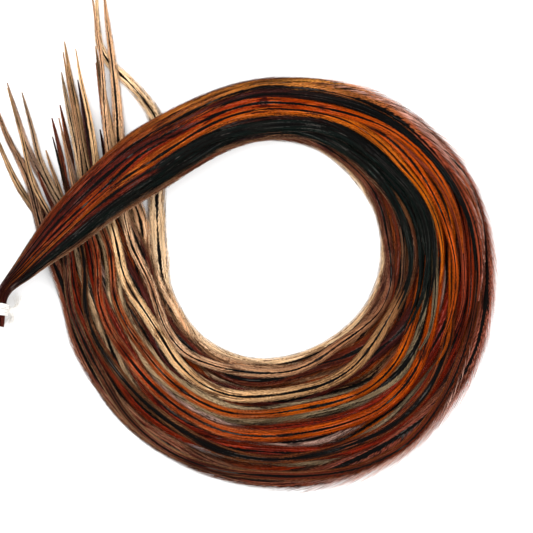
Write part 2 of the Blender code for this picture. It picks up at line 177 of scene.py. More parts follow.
def add_node(
    tree: bpy.types.NodeTree, kind: Kind | str, inputs: Inputs | list = (), **settings: object
) -> bpy.types.Node:
    """Add a node to a tree.

    Args:
        tree: The tree to add to.
        kind: The kind of node, or a type name.
        inputs: What each input gets, by name or number, or as a list for the kind's own inputs in order.
        settings: The node's own properties.

    Returns:
        The new node.
    """
    type_name, keys, fixed = kind.value if isinstance(kind, Kind) else (kind, range(len(inputs)), {})
    node = tree.nodes.new(type_name)
    for name, value in {**fixed, **settings}.items():
        setattr(node, name, value)
    feed_node(tree, node, inputs if isinstance(inputs, dict) else dict(zip(keys, inputs)))
    return node


def new_material(name: str) -> tuple[bpy.types.Material, Adder, Callable[[Inputs], None]]:
    """Make an empty node material.

    Args:
        name: The material's name.

    Returns:
        The material, a function that adds a node to it, and one that feeds its Principled shader.
    """
    made = bpy.data.materials.new(name)
    made.use_nodes = True
    tree = made.node_tree
    return made, partial(add_node, tree), partial(feed_node, tree, tree.nodes["Principled BSDF"])


def place_object(name: str, data: bpy.types.ID) -> bpy.types.Object:
    """Make an object of a mesh, curve, lamp or camera and put it in the scene."""
    made = bpy.data.objects.new(name, data)
    bpy.context.scene.collection.objects.link(made)
    return made


@dataclass(frozen=True)
class Grain:
    """Noise drawn out along a feather, for its streaks and lines.

    Attributes:
        shift: How far the noise of one feather is from another's.
        across: Cells of the noise from the shaft to a barb's end.
        along: Cells of the noise from the butts to the longest tips.
        lean: How far the noise of one barb is from the next one's.
        detail: Finer layers of the noise.
        roughness: Strength of each finer layer.
    """

    shift: float
    across: float
    along: float
    lean: float
    detail: float
    roughness: float = 0.5

    def noise(self, add: Adder, read: Readings) -> bpy.types.Node:
        """Add the noise to a finish."""
        own = add(Kind.MULTIPLY, [read[FEATHER_TONE], self.shift])
        across = add(Kind.MULTIPLY_ADD, [read[ALONG_BARB], self.across, own])
        along = add(Kind.MULTIPLY, [read[ALONG_BUNCH], self.along])
        leaning = add(Kind.MULTIPLY_ADD, [read[BARB_TONE], self.lean, along])
        return add(Kind.NOISE_2D, [add(Kind.COMBINE, [across, leaning]), 1.0, self.detail, self.roughness])


# Streaks are a third of a millimetre wide and a centimetre long
STREAKS = Grain(shift=57.0, across=7.0, along=34.0, lean=0.5, detail=3.0, roughness=0.65)
LINES = Grain(shift=83.0, across=3.4, along=15.0, lean=0.0, detail=1.0)


@dataclass(frozen=True)
class HackleFinish:
    """Keratin barbs of a rooster hackle: satin, each a shade apart, with a dark stripe along the shaft and
    painted glints.

    Attributes:
        name: The material's name.
        tints: Colours by the place along the bunch, from 0 at the butts to 1 at the longest tips.
        edge: Colour of the vane's edges.
        far_edge: Colour of the edges past the foot of the loop, where it isn't the same.
        patch: Colour of the irregular patches along the vane.
        patch_share, edge_share, far_share, rim_share, glint_share: How much of each colour shows.
        light_lines, dark_lines: How much of the fine lines beside the shaft shows. The dark lines are
            painted shade.
        stripe: Colour of the stripe along the shaft.
        stripe_share: How far out the stripe reaches, as a share of a barb's length.
        rim: Colour of the barbs' very ends, partly the feather's lacing and partly painted shade between
            neighbouring feathers, and of the dark line's painted shade.
        butt: Colour of the bare quill's stripe.
        fluff: Colour of the loose barbs beyond the vane: a pale pink that is partly their rust and partly
            painted light, as if shining through the thin barbs.
        glint: Colour of the painted glints, on barbs painted as if they caught the light.
        streakiness: How strong the streaks are.
        brightness, saturation, roughness, specular: The surface's look, before chance moves it.
    """

    name: str
    tints: tuple[tuple[float, str], ...]
    edge: str
    patch: str
    patch_share: float = 0.45
    far_edge: str = ""
    edge_share: float = 0.5
    far_share: float = 0.5
    light_lines: float = 0.4
    dark_lines: float = 0.8
    stripe: str = "080605"
    stripe_share: float = 0.12
    # Dark of the barbs' ends and of the dark line: partly the feather's lacing, partly painted shade
    rim: str = "140807"
    rim_share: float = 0.85
    butt: str = "4A1A12"
    # Pale pink of the loose barbs: partly their rust, partly painted light shining through them
    fluff: str = "DEAA9C"
    streakiness: float = 1.0
    brightness: float = 0.76
    saturation: float = 1.02
    roughness: float = 0.5
    specular: float = 0.035
    # Painted glints: their colour, and how much of it the most glinting barbs take
    glint: str = "B4ACA4"
    glint_share: float = 0.1

    # Widths of soft borders, as the places where each starts and ends
    GLINT_BORDER = (0.62, 0.7)
    PATCH_BORDER = (0.48, 0.6)
    FAR_BORDER = (0.6, 0.7)
    EDGE_BORDER = (0.38, 0.85)
    RIM_BORDER = (0.78, 0.95)
    STRIPE_BORDER = (0.12, 0.18)
    QUILL_BORDER = (0.04, 0.12)
    # How far chance moves a colour's place, the stripe's width, the roughness and the hue
    CLUMP_SHIFT = 0.06
    STRIPE_CHANCE = 0.06
    STRIPE_SWAY = 0.3
    WEAR = 0.12
    HUE_SWAY = 0.016
    # Slow noise: a patch each centimetre or so, each feather's own, that leans along its barbs
    SLOW_ALONG = 26.0
    SLOW_SHIFT = 91.0
    SLOW_LEAN = 0.5
    # Level and half width, in the noise, of the two light lines and the dark one, which is painted shade
    LIGHT_LINES = ((0.42, 0.03), (0.6, 0.022))
    DARK_LINE = (0.5, 0.034)
    # The noise of the darkest and lightest streak, how much those differ from the vane's own tone, and how
    # much each attribute's chance adds
    STREAK_RANGE = (0.3, 0.7)
    STREAK_TONES = (0.6, 0.55)
    TONES = ((BARB_TONE, 0.24), (CLUMP_TONE, 0.45), (FEATHER_TONE, 0.25))
    # Barbules, the hooks along each barb, are 0.02 mm apart: drawn ten times as coarse so that they show
    BARBULES = (5000.0, 2.0)
    # Strength and height of the bumps
    BUMPS = (0.2, 0.03 * MM)

    def material(self) -> bpy.types.Material:
        """Build the material, or return it if it is built already."""
        found = bpy.data.materials.get(self.name)
        if found:
            return found
        made, add, feed_shader = new_material(self.name)
        read = {
            name: add("ShaderNodeAttribute", attribute_name=name).outputs["Fac"]
            for name in (ALONG_BUNCH, ALONG_BARB, BARB_TONE, CLUMP_TONE, FEATHER_TONE, FLUFF)
        }
        slow = self._slow_noise(add, read)
        striped = self._striped(add, read, slow, self._vane_colour(add, read, slow))
        # Loose barbs beyond the vane go pale pink: partly their rust, partly painted light, as if shining
        # through the thin barbs
        fluffy = add(Kind.MIX, [read[FLUFF], striped, linear(self.fluff)])
        streaks = STREAKS.noise(add, read)
        toned = self._toned(add, read, streaks, fluffy)
        # Painted glints: barbs where the streak noise is highest are mixed towards the glint colour, as if
        # they caught the light
        lit = add(Kind.RANGE, [streaks, *self.GLINT_BORDER, 0.0, self.glint_share])
        barbules = add(Kind.NOISE_3D, [add("ShaderNodeTexCoord").outputs["Object"], *self.BARBULES])
        feed_shader(
            {
                "Base Color": add(Kind.MIX, [lit, toned, linear(self.glint)]),
                "Roughness": add(Kind.MULTIPLY_ADD, [read[BARB_TONE], self.WEAR, self.roughness]),
                "Normal": add(Kind.BUMP, [*self.BUMPS, barbules]),
                "Specular IOR Level": self.specular,
            }
        )
        return made

    def _slow_noise(self, add: Adder, read: Readings) -> bpy.types.Node:
        """Noise that changes every centimetre or so along a feather, and otherwise on each feather."""
        along = add(Kind.MULTIPLY, [read[ALONG_BUNCH], self.SLOW_ALONG])
        own = add(Kind.MULTIPLY_ADD, [read[FEATHER_TONE], self.SLOW_SHIFT, along])
        return add(
            Kind.NOISE_1D, [add(Kind.MULTIPLY_ADD, [read[ALONG_BARB], self.SLOW_LEAN, own]), 1.0, 2.0]
        )

    def _vane_colour(self, add: Adder, read: Readings, slow: Source) -> bpy.types.Node:
        """Tint by place along the bunch, patches, edge, rim and lines of the vane, with painted shade in the
        rim and the dark line.
        """
        place = add(Kind.MULTIPLY_ADD, [read[CLUMP_TONE], self.CLUMP_SHIFT, read[ALONG_BUNCH]])
        tint = add("ShaderNodeValToRGB", [place])
        stops = tint.color_ramp.elements
        for stop, (position, colour) in zip(stops, (self.tints[0], self.tints[-1])):
            stop.position, stop.color = position, linear(colour)
        for position, colour in self.tints[1:-1]:
            stops.new(position).color = linear(colour)
        in_patch = add(Kind.SMOOTH_RANGE, [slow, *self.PATCH_BORDER, 0.0, self.patch_share])
        patched = add(Kind.MIX, [in_patch, tint, linear(self.patch)])
        gone_far = add(Kind.RANGE, [place, *self.FAR_BORDER])
        share = add(Kind.RANGE, [gone_far, 0.0, 1.0, self.edge_share, self.far_share])
        at_edge = add(Kind.RANGE, [read[ALONG_BARB], *self.EDGE_BORDER, 0.0, share])
        edge = add(Kind.MIX, [gone_far, linear(self.edge), linear(self.far_edge or self.edge)])
        edged = add(Kind.MIX, [at_edge, patched, edge])
        # Barbs darken to the rim colour at their ends: partly the feather's lacing, partly painted shade
        # between neighbouring feathers
        at_rim = add(Kind.SMOOTH_RANGE, [read[ALONG_BARB], *self.RIM_BORDER, 0.0, self.rim_share])
        colour = add(Kind.MIX, [at_rim, edged, linear(self.rim)])
        # Fine lines beside the shaft: light ones of the edge's colour, as where barbs lie over one another,
        # and a dark one of painted shade, as where barbs part
        noise = LINES.noise(add, read)
        for line, most, paint in (
            *((line, self.light_lines, edge) for line in self.LIGHT_LINES),
            (self.DARK_LINE, self.dark_lines, linear(self.rim)),
        ):
            amount = add(Kind.MULTIPLY, [add(Kind.COMPARE, [noise, *line]), most])
            colour = add(Kind.MIX, [amount, colour, paint])
        return colour

    def _striped(self, add: Adder, read: Readings, slow: Source, vane: Source) -> bpy.types.Node:
        """Dark stripe along the shaft, uneven in width, which is reddish brown on the bare quill."""
        uneven = add(Kind.MULTIPLY_ADD, [read[BARB_TONE], self.STRIPE_CHANCE, read[ALONG_BARB]])
        wandering = add(Kind.MULTIPLY_ADD, [slow, self.STRIPE_SWAY, uneven])
        border = [self.stripe_share + place for place in self.STRIPE_BORDER]
        outside = add(Kind.SMOOTH_RANGE, [wandering, *border])
        past_quill = add(Kind.RANGE, [read[ALONG_BUNCH], *self.QUILL_BORDER])
        stripe = add(Kind.MIX, [past_quill, linear(self.butt), linear(self.stripe)])
        return add(Kind.MIX, [outside, stripe, vane])

    def _toned(self, add: Adder, read: Readings, streaks: Source, colour: Source) -> bpy.types.Node:
        """Set each barb, clump, streak and feather a shade apart."""
        darker, lighter = (self.streakiness * tone for tone in self.STREAK_TONES)
        shades = (self.brightness * (1 - darker), self.brightness * (1 + lighter))
        value = add(Kind.RANGE, [streaks, *self.STREAK_RANGE, *shades], clamp=False)
        for tone, amount in self.TONES:
            value = add(Kind.MULTIPLY_ADD, [read[tone], amount, value])
        hue = add(Kind.MULTIPLY_ADD, [read[FEATHER_TONE], self.HUE_SWAY, 0.5])
        return add(
            "ShaderNodeHueSaturation",
            {"Hue": hue, "Saturation": self.saturation, "Value": value, "Color": colour},
        )


class Plumage(Enum):
    """Finishes of the feathers. The six plain ones are named as the CAD nodes are."""

    TAN = HackleFinish(
        "tan hackle barbs",
        light_lines=0.6,
        tints=(
            (0.0, "8A5A38"), (0.3, "5A2A1C"), (0.38, "3E1812"), (0.51, "4A2018"), (0.57, "B08058"),
            (0.75, "D6A478"), (1.0, "FFCA98"),
        ),
        edge="8A5E42",
        far_edge="F4D2A8",
        rim="3E2014",
        brightness=0.84,
        patch="7A4A2E",
    )
    PALE_TAN = HackleFinish(
        "pale tan hackle barbs",
        tints=((0.0, "7A4A30"), (0.35, "B98A62"), (0.6, "DDB48C"), (0.85, "E6C29C"), (1.0, "FFD6A8")),
        edge="F2D8B8",
        rim="5A3420",
        brightness=0.82,
        streakiness=0.6,
        patch="C49870",
        stripe_share=0.1,
    )
    LACED_TAN = HackleFinish(
        "dark hackle barbs laced with tan",
        tints=(
            (0.0, "2A120D"), (0.3, "241210"), (0.5, "2A1412"), (0.8, "4A1F16"), (0.88, "B48866"),
            (1.0, "FFC48E"),
        ),
        edge="C89468",
        far_edge="E0B284",
        patch="1A0C09",
        far_share=1.0,
        rim_share=0.2,
    )
    BROWN_TAN = HackleFinish(
        "brown hackle barbs with tan tips",
        light_lines=0.25,
        tints=(
            (0.0, "4A2014"), (0.33, "8A5238"), (0.5, "8C4C36"), (0.62, "6A3322"), (0.8, "6E3C28"),
            (0.87, "C89C78"), (1.0, "FFC48E"),
        ),
        edge="A06A48",
        far_edge="C99C74",
        patch="2A100B",
    )
    CHESTNUT = HackleFinish(
        "chestnut hackle barbs",
        light_lines=0.12,
        tints=(
            (0.0, "8A5030"), (0.15, "B4703E"), (0.27, "8A4420"), (0.4, "5E2011"), (0.6, "4C160E"),
            (0.8, "4A1714"), (0.88, "C89C78"), (1.0, "FFC48E"),
        ),
        edge="9A4A24",
        far_edge="C2946C",
        patch="2A0E0A",
    )
    ROSE = HackleFinish(
        "rose grey hackle barbs",
        tints=((0.0, "4A241C"), (0.35, "7E5448"), (0.6, "9A7468"), (0.8, "AD8878"), (1.0, "E8B898")),
        edge="C4A394",
        patch="5A342A",
    )
    ORANGE = HackleFinish(
        "orange hackle barbs",
        light_lines=0.25,
        far_share=0.35,
        tints=(
            (0.0, "3E150D"), (0.2, "641F10"), (0.34, "862A10"), (0.46, "B04A16"), (0.6, "B4500F"),
            (0.72, "98380F"), (0.82, "8E3A1C"), (0.88, "CB9F7A"), (1.0, "FFC48E"),
        ),
        edge="A03E18",
        far_edge="C99A6C",
        patch="561B0E",
    )
    BRIGHT_ORANGE = HackleFinish(
        "bright orange hackle barbs",
        tints=(
            (0.0, "45170D"), (0.2, "6A2010"), (0.33, "96300F"), (0.42, "BE5218"), (0.52, "C4581C"),
            (0.7, "A8481A"), (0.85, "AE6A40"), (1.0, "CAA17F"),
        ),
        edge="C86A30",
        patch="9A3A10",
    )
    RUST = HackleFinish(
        "rust hackle barbs",
        light_lines=0.25,
        tints=(
            (0.0, "3C140D"), (0.22, "6A2414"), (0.27, "9A5024"), (0.35, "D08440"), (0.43, "A04C34"),
            (0.6, "8C2E14"), (0.8, "86301A"), (0.88, "C69A76"), (1.0, "FFC48E"),
        ),
        edge="A04A2A",
        far_edge="B98462",
        patch="3A130C",
    )
    MAHOGANY = HackleFinish(
        "mahogany hackle barbs",
        light_lines=0.2,
        tints=(
            (0.0, "340F0B"), (0.25, "5C1C0F"), (0.34, "8A4028"), (0.46, "862E18"), (0.6, "78260F"),
            (0.8, "70240F"), (0.88, "8E4A30"), (1.0, "B86A48"),
        ),
        edge="963A18",
        far_edge="A05A36",
        patch="260C09",
    )
    WINE = HackleFinish(
        "wine hackle barbs",
        light_lines=0.12,
        far_share=0.3,
        tints=(
            (0.0, "260B0A"), (0.33, "3A100F"), (0.6, "441513"), (0.8, "4A1816"), (0.88, "3A1A1C"),
            (1.0, "5E3434"),
        ),
        edge="5E2720",
        far_edge="6E342C",
        patch="1A0A0A",
        stripe_share=0.16,
    )
    BLACK = HackleFinish(
        "black hackle barbs",
        tints=(
            (0.0, "0C0A0A"), (0.3, "090E0D"), (0.55, "0A1513"), (0.8, "120E0D"), (0.9, "4E382E"),
            (1.0, "8A6854"),
        ),
        edge="16251F",
        rim="100B09",
        patch="17120F",
        roughness=0.42,
    )
    RUST_TO_BLACK = HackleFinish(
        "rust hackle barbs with black tips",
        tints=((0.0, "4A190F"), (0.25, "6A2614"), (0.33, "3A140D"), (0.39, "0A0B0B"), (1.0, "0A100F")),
        edge="14201E",
        patch="1A100D",
        roughness=0.42,
    )
    BLACK_RUST = HackleFinish(
        "black hackle barbs with rust edges",
        tints=((0.0, "0C0A0A"), (0.5, "140C0A"), (0.8, "1E110C"), (0.9, "16100F"), (1.0, "2A1E20")),
        edge="9A4A22",
        far_edge="B07448",
        patch="3A160D",
        edge_share=0.7,
        stripe_share=0.22,
    )
    OLIVE = HackleFinish(
        "olive grey hackle barbs",
        tints=(
            (0.0, "241A13"), (0.35, "3C3022"), (0.48, "665742"), (0.65, "98805F"), (0.74, "C8A47A"),
            (0.84, "D4AE84"), (1.0, "C2A082"),
        ),
        edge="A89778",
        far_edge="E2C49A",
        patch="4A3A2A",
    )

    @classmethod
    def of_node(cls, node: str) -> "Plumage":
        """Finish of a CAD node: its own, or else that of the colour that starts its name."""
        return OWN_PLUMAGE.get(node, cls[node.split("_")[0].upper()])


# Feathers that differ from the plain finish of their colour
OWN_PLUMAGE = {
    f"{colour}_feather_{number:02d}": plumage
    for colour, plumage, numbers in (
        ("tan", Plumage.PALE_TAN, (1, 5, 6)),
        ("tan", Plumage.BROWN_TAN, (4, 9, 12)),
        ("tan", Plumage.ROSE, (3, 10)),
        ("tan", Plumage.LACED_TAN, (7,)),
        ("tan", Plumage.CHESTNUT, (11,)),
        ("orange", Plumage.BRIGHT_ORANGE, (5, 8, 9)),
        ("orange", Plumage.RUST, (6, 7)),
        ("mahogany", Plumage.BLACK_RUST, (2,)),
        ("mahogany", Plumage.RUST, (3, 8)),
        ("mahogany", Plumage.CHESTNUT, (6,)),
        ("wine", Plumage.MAHOGANY, (4,)),
        ("wine", Plumage.LACED_TAN, (5,)),
        ("black", Plumage.BLACK_RUST, (1,)),
        ("black", Plumage.RUST_TO_BLACK, (6, 7)),
    )
    for number in numbers
}


@dataclass
class Ring:
    """One cross-section of a feather's CAD solid, in metres.

    Attributes:
        ridge: The top of the section, where the shaft runs.
        left: The corner to the left of the way from butt to tip, which is the outer side of the loop.
        right: The corner to the right.
    """

    ridge: Vector
    left: Vector
    right: Vector

    @property
    def across(self) -> Vector:
        """Level direction from the right corner to the left one."""
        return (self.left - self.right).normalized()

    @property
    def slope(self) -> float:
        """Height of the ridge above the corners."""
        return self.ridge.z - (self.left.z + self.right.z) / 2


def read_rings(node: bpy.types.Object, butts: Vector) -> list[Ring]:
    """Read a feather solid's cross-sections from its CAD node, from butt to tip.

    Args:
        node: The CAD node, whose mesh is loose triangles.
        butts: The place of the bound end of the bunch.

    Returns:
        The sections in order.
    """
    mesh = bmesh.new()
    mesh.from_mesh(node.data)
    bmesh.ops.remove_doubles(mesh, verts=mesh.verts, dist=0.001 * MM)
    current = sorted(mesh.verts, key=lambda v: (v.co - butts).length)[:3]
    seen = set(current)
    rings = []
    while current:
        corners = sorted((v.co.copy() for v in current), key=lambda co: co.z)
        low, high = corners[:2], corners[2]
        rings.append((high, low))
        current = [v for v in {e.other_vert(u) for u in current for e in u.link_edges} if v not in seen]
        seen.update(current)
    mesh.free()
    result = []
    for number, (high, low) in enumerate(rings):
        ahead = rings[min(number + 1, len(rings) - 1)][0] - rings[max(number - 1, 0)][0]
        left_way = UP.cross(ahead)
        low.sort(key=lambda co: (co - high).dot(left_way))
        result.append(Ring(high, low[1], low[0]))
    return result


@dataclass
class SpinePoint:
    """A point of a feather's shaft with what its barbs need, in metres.

    Attributes:
        place: Where the point is.
        across: The way across the vanes, to the left.
        radius: The shaft's radius.
        vane: Half width on the left and right, and how far the vane's edge droops.
        loose: How loose the barbs are on the left and right, and the place along the bunch.
    """

    place: Vector
    across: Vector
    radius: float
    vane: list[float]
    loose: list[float]


class SmoothLine:
    """Smooth curve through unevenly spaced values, by the distance between them."""

    def __init__(self, values: list, spans: list[float]) -> None:
        """Keep the values and find the slope at each.

        Args:
            values: Numbers or vectors.
            spans: The distance from each value to the next.
        """
        self.values = values
        self.spans = spans
        steps = [(after - before) * (1 / span) for before, after, span in zip(values, values[1:], spans)]
        inner = [
            (steps[k] * spans[k + 1] + steps[k + 1] * spans[k]) * (1 / (spans[k] + spans[k + 1]))
            for k in range(len(steps) - 1)
        ]
        self.slopes = [steps[0], *inner, steps[-1]]

    def at(self, number: int, share: float) -> float | Vector:
        """Value in the stretch after a number of values, at a share from 0 to 1."""
        span = self.spans[number]
        rising = share * share * (3.0 - 2.0 * share)
        between = self.values[number] * (1.0 - rising) + self.values[number + 1] * rising
        leaving = self.slopes[number] * (span * share * (1.0 - share) ** 2)
        arriving = self.slopes[number + 1] * (span * share * share * (1.0 - share))
        return between + leaving - arriving


class BarbTree:
    """Geometry Nodes that grow the two vanes and the shaft of a feather from its spine."""

    NAME = "hackle_barbs"
    SEGMENTS = 4
    SHAFT_SIDES = 6
    SHAFT_STEP = 1.5
    # No barb goes below this height. The other two numbers are out of every barb's reach
    ABOVE_FLOOR = (-1.0, -1.0, 0.02 * MM)
    # What keeps the chances of the two sides, and of the feathers, apart
    TONE_SEEDS = (40.0, 80.0)
    SIDE_SHIFT = 37.3
    SEED_SHIFT = 11.7
    CLUMP_NOISE = (1.0, 3.0, 0.7)
    # How rarely a barb strays far
    RARITY = 1.8
    # How a barb bends towards the tip and eases outwards: the gain with its own length, and the start
    BEND = (0.35, 0.65)
    EASE = (-0.6, 1.6)
    # Half a barb's breadth: full up to 0.45 of its length, then down to a fine point
    THINNING = (0.45, 1.0, 0.5, 0.06)
    # Where, in half widths of the vane, the fluff's colour, paled by painted light, starts and is full, and
    # how much of it
    FLUFF_BORDER = (1.05, 1.5, 0.0, 0.85)
    CLUMP_LIFT = 0.6 * MM
    # Rows of the map: how much of it a side of the vane or the shaft fills, and where it starts
    VANE_ROWS = (0.45, 0.05)
    SHAFT_ROWS = (0.06, 0.47)

    def __init__(self) -> None:
        """Build the tree and keep its inputs' identifiers by name."""
        self.tree = bpy.data.node_groups.new(self.NAME, "GeometryNodeTree")
        self.add = partial(add_node, self.tree)
        self.inputs: dict[str, str] = {}
        self._make_sockets()
        self._make_nodes()

    def _make_sockets(self) -> None:
        """Add the tree's named inputs and its output."""
        face = self.tree.interface
        for name, kind, default in (
            ("Spine", "NodeSocketGeometry", None),
            ("Pitch", "NodeSocketFloat", 0.36 * MM),
            ("Advance", "NodeSocketFloat", 4.6),
            ("Cover", "NodeSocketFloat", 1.5),
            ("Tilt", "NodeSocketFloat", 0.03 * MM),
            ("Clumping", "NodeSocketFloat", 0.45),
            ("Clump Length", "NodeSocketFloat", 3.5 * MM),
            ("Ragged", "NodeSocketFloat", 0.12),
            ("Feather Tone", "NodeSocketFloat", 0.0),
            ("Seed", "NodeSocketInt", 0),
            ("Finish", "NodeSocketMaterial", None),
        ):
            socket = face.new_socket(name, in_out="INPUT", socket_type=kind)
            if default is not None:
                socket.default_value = default
            self.inputs[name] = socket.identifier
        face.new_socket("Feather", in_out="OUTPUT", socket_type="NodeSocketGeometry")

    def _named(self, name: str, kind: str = "FLOAT") -> bpy.types.NodeSocket:
        """Read a named attribute."""
        return self.add("GeometryNodeInputNamedAttribute", [name], data_type=kind).outputs["Attribute"]

    def _strip(self, side: float) -> bpy.types.Node:
        """Make one barb as a flat strip that only counts its own length and edges.

        Args:
            side: 1 for the left vane and -1 for the right.

        Returns:
            The last node of the strip.
        """
        add = self.add
        strip = add(
            "GeometryNodeMeshGrid",
            {"Size X": 1.0, "Size Y": 1.0, "Vertices X": self.SEGMENTS + 1, "Vertices Y": 2},
        )
        place = add("GeometryNodeInputPosition")
        parts = add(Kind.SEPARATE, [place])
        share = add(Kind.ADD, [parts.outputs["X"], 0.5])
        edge = add(Kind.MULTIPLY, [parts.outputs["Y"], 2.0])
        for name, value in ((ALONG_BARB, share), (BARB_EDGE, edge), (BARB_SIDE, side)):
            strip = add(Kind.STORE, [strip, name, value])
        if side > 0:
            strip = add("GeometryNodeFlipFaces", {"Mesh": strip})
        return strip

    def _rooted(self, points: Source, side: float, seed: Source) -> bpy.types.Node:
        """Stand a strip on each root and give it its own chances.

        Args:
            points: The roots along the shaft.
            side: 1 for the left vane and -1 for the right.
            seed: The feather's seed.

        Returns:
            The last node of the instances.
        """
        add = self.add
        rooted = add("GeometryNodeInstanceOnPoints", {"Points": points, "Instance": self._strip(side)})
        number = add("GeometryNodeInputIndex")
        chances = [
            add(Kind.CHANCE, [-0.5, 0.5, number, add(Kind.ADD, [seed, first + side])])
            for first in self.TONE_SEEDS
        ]
        for name, value in zip((BARB_NUMBER, BARB_TONE, STRAY_TONE), (number, *chances)):
            rooted = add(Kind.STORE, [rooted, name, value], domain="INSTANCE")
        return rooted

    def _make_nodes(self) -> None:
        """Add and link the nodes."""
        add = self.add
        given = add("NodeGroupInput").outputs
        line = add("GeometryNodeMeshToCurve", [given["Spine"]])
        travelled = add("GeometryNodeSplineParameter")
        curve = add(Kind.STORE, [line, ARC, travelled.outputs["Length"]])
        whole = add("GeometryNodeCurveLength", [curve])
        roots = add("GeometryNodeCurveToPoints", {"Curve": curve, "Length": given["Pitch"]}, mode="LENGTH")
        count = add("GeometryNodeAttributeDomainSize", [roots], component="POINTCLOUD")
        sides = [self._rooted(roots, side, given["Seed"]) for side in (1.0, -1.0)]
        strips = add("GeometryNodeRealizeInstances", [add("GeometryNodeJoinGeometry", [sides])])

        names = (ALONG_BARB, BARB_EDGE, BARB_SIDE, BARB_TONE, STRAY_TONE, ARC, BARB_NUMBER)
        share, edge, side, tone, stray, arc, number = (self._named(name) for name in names)
        is_left = add("FunctionNodeCompare", [side, 0.0], data_type="FLOAT", operation="GREATER_THAN")

        # Clumps: neighbouring barbs hold together and lean the same way for some millimetres
        in_clumps = add(Kind.DIVIDE, [arc, given["Clump Length"]])
        side_step = add(Kind.MULTIPLY_ADD, [side, self.SIDE_SHIFT, in_clumps])
        seed_step = add(Kind.MULTIPLY_ADD, [given["Seed"], self.SEED_SHIFT, side_step])
        clump_noise = add(Kind.NOISE_1D, [seed_step, *self.CLUMP_NOISE])
        clump = add(Kind.SUBTRACT, [clump_noise, 0.5])

        # How far a barb's place along the shaft moves on from its root
        root_vane = add(Kind.SEPARATE, [self._named(VANE, "FLOAT_VECTOR")])
        root_half = add(Kind.SWITCH, [is_left, root_vane.outputs["Y"], root_vane.outputs["X"]])
        root_loose = add(Kind.SEPARATE, [self._named(LOOSE, "FLOAT_VECTOR")])
        loose = add(Kind.SWITCH, [is_left, root_loose.outputs["Y"], root_loose.outputs["X"]])
        rarely = add(Kind.ADD, [stray, 0.5])
        rare = add(Kind.POWER, [rarely, self.RARITY])
        flown = add(Kind.MULTIPLY_ADD, [rare, loose, 1.0])
        lean = add(Kind.MULTIPLY_ADD, [clump, given["Clumping"], flown])
        own_lean = add(Kind.MULTIPLY_ADD, [tone, given["Ragged"], lean])
        reach_on = add(Kind.MULTIPLY, [root_half, given["Advance"]])
        advance = add(Kind.MULTIPLY, [reach_on, own_lean])
        bend = add(Kind.MULTIPLY_ADD, [share, *self.BEND])
        bent = add(Kind.MULTIPLY, [share, bend])
        moved = add(Kind.MULTIPLY_ADD, [advance, bent, arc])
        thinning = add(Kind.RANGE, [share, *self.THINNING])
        broad = add(Kind.MULTIPLY, [given["Pitch"], given["Cover"]])
        half_broad = add(Kind.MULTIPLY, [broad, thinning])
        spread = add(Kind.MULTIPLY_ADD, [half_broad, edge, moved])
        on_shaft = add("ShaderNodeClamp", {"Value": spread, "Min": 0.0, "Max": whole})

        # The shaft's line, the way across it and the vanes' widths there
        way = add(Kind.SAMPLE, [curve, self._named(ACROSS, "FLOAT_VECTOR"), on_shaft])
        vane_there = add(Kind.SAMPLE, [curve, self._named(VANE, "FLOAT_VECTOR"), on_shaft])
        vane = add(Kind.SEPARATE, [vane_there.outputs["Value"]])
        half = add(Kind.SWITCH, [is_left, vane.outputs["Y"], vane.outputs["X"]])
        reach = add(Kind.MULTIPLY_ADD, [tone, given["Ragged"], flown])
        signed = add(Kind.MULTIPLY, [reach, side])
        widest = add(Kind.MULTIPLY, [signed, half])
        easing = add(Kind.MULTIPLY_ADD, [share, *self.EASE])
        eased = add(Kind.MULTIPLY, [share, easing])
        out = add(Kind.MULTIPLY, [widest, eased])
        beyond = add(Kind.MULTIPLY, [reach, eased])
        fluff = add(Kind.RANGE, [beyond, *self.FLUFF_BORDER])
        sideways = add(Kind.VECTOR_SCALE, [way.outputs["Value"], out])

        # Height: the vane slopes down from the shaft and each barb lies on the next one's edge
        upward = add(Kind.VECTOR_CROSS_PRODUCT, [way.outputs["Tangent"], way.outputs["Value"]])
        squared = add(Kind.MULTIPLY, [share, share])
        fall = add(Kind.MULTIPLY, [vane.outputs["Z"], squared])
        lifted = add(Kind.MULTIPLY, [clump, squared])
        lift = add(Kind.MULTIPLY, [lifted, self.CLUMP_LIFT])
        rise = add(Kind.SUBTRACT, [lift, fall])
        raised = add(Kind.MULTIPLY_ADD, [edge, given["Tilt"], rise])
        vertical = add(Kind.VECTOR_SCALE, [upward, raised])
        beside = add(Kind.VECTOR_ADD, [way.outputs["Position"], sideways])
        anywhere = add(Kind.VECTOR_ADD, [beside, vertical])
        place = add(Kind.VECTOR_MAXIMUM, [anywhere, self.ABOVE_FLOOR])

        # What the finish reads, and a map with a column for every barb
        half_edge = add(Kind.MULTIPLY_ADD, [edge, 0.5, number])
        column = add(Kind.ADD, [half_edge, 0.5])
        map_u = add(Kind.DIVIDE, [column, count.outputs["Point Count"]])
        row = add(Kind.MULTIPLY_ADD, [share, *self.VANE_ROWS])
        map_v = add(Kind.MULTIPLY_ADD, [row, side, 0.5])
        uv = add(Kind.COMBINE, [map_u, map_v])
        for name, kind, domain, value in (
            (ALONG_BUNCH, "FLOAT", "POINT", root_loose.outputs["Z"]),
            (CLUMP_TONE, "FLOAT", "POINT", clump),
            (FLUFF, "FLOAT", "POINT", fluff),
            (UV_MAP, "FLOAT2", "CORNER", uv),
        ):
            strips = add(Kind.STORE, [strips, name, value], data_type=kind, domain=domain)
        barbs = add("GeometryNodeSetPosition", {"Geometry": strips, "Position": place})

        both = add("GeometryNodeJoinGeometry", [[barbs, self._shaft(curve)]])
        toned = add(Kind.STORE, [both, FEATHER_TONE, given["Feather Tone"]])
        whole_feather = add("GeometryNodeRealizeInstances", [toned])
        dressed = add("GeometryNodeSetMaterial", {"Geometry": whole_feather, "Material": given["Finish"]})
        add("NodeGroupOutput", [dressed])

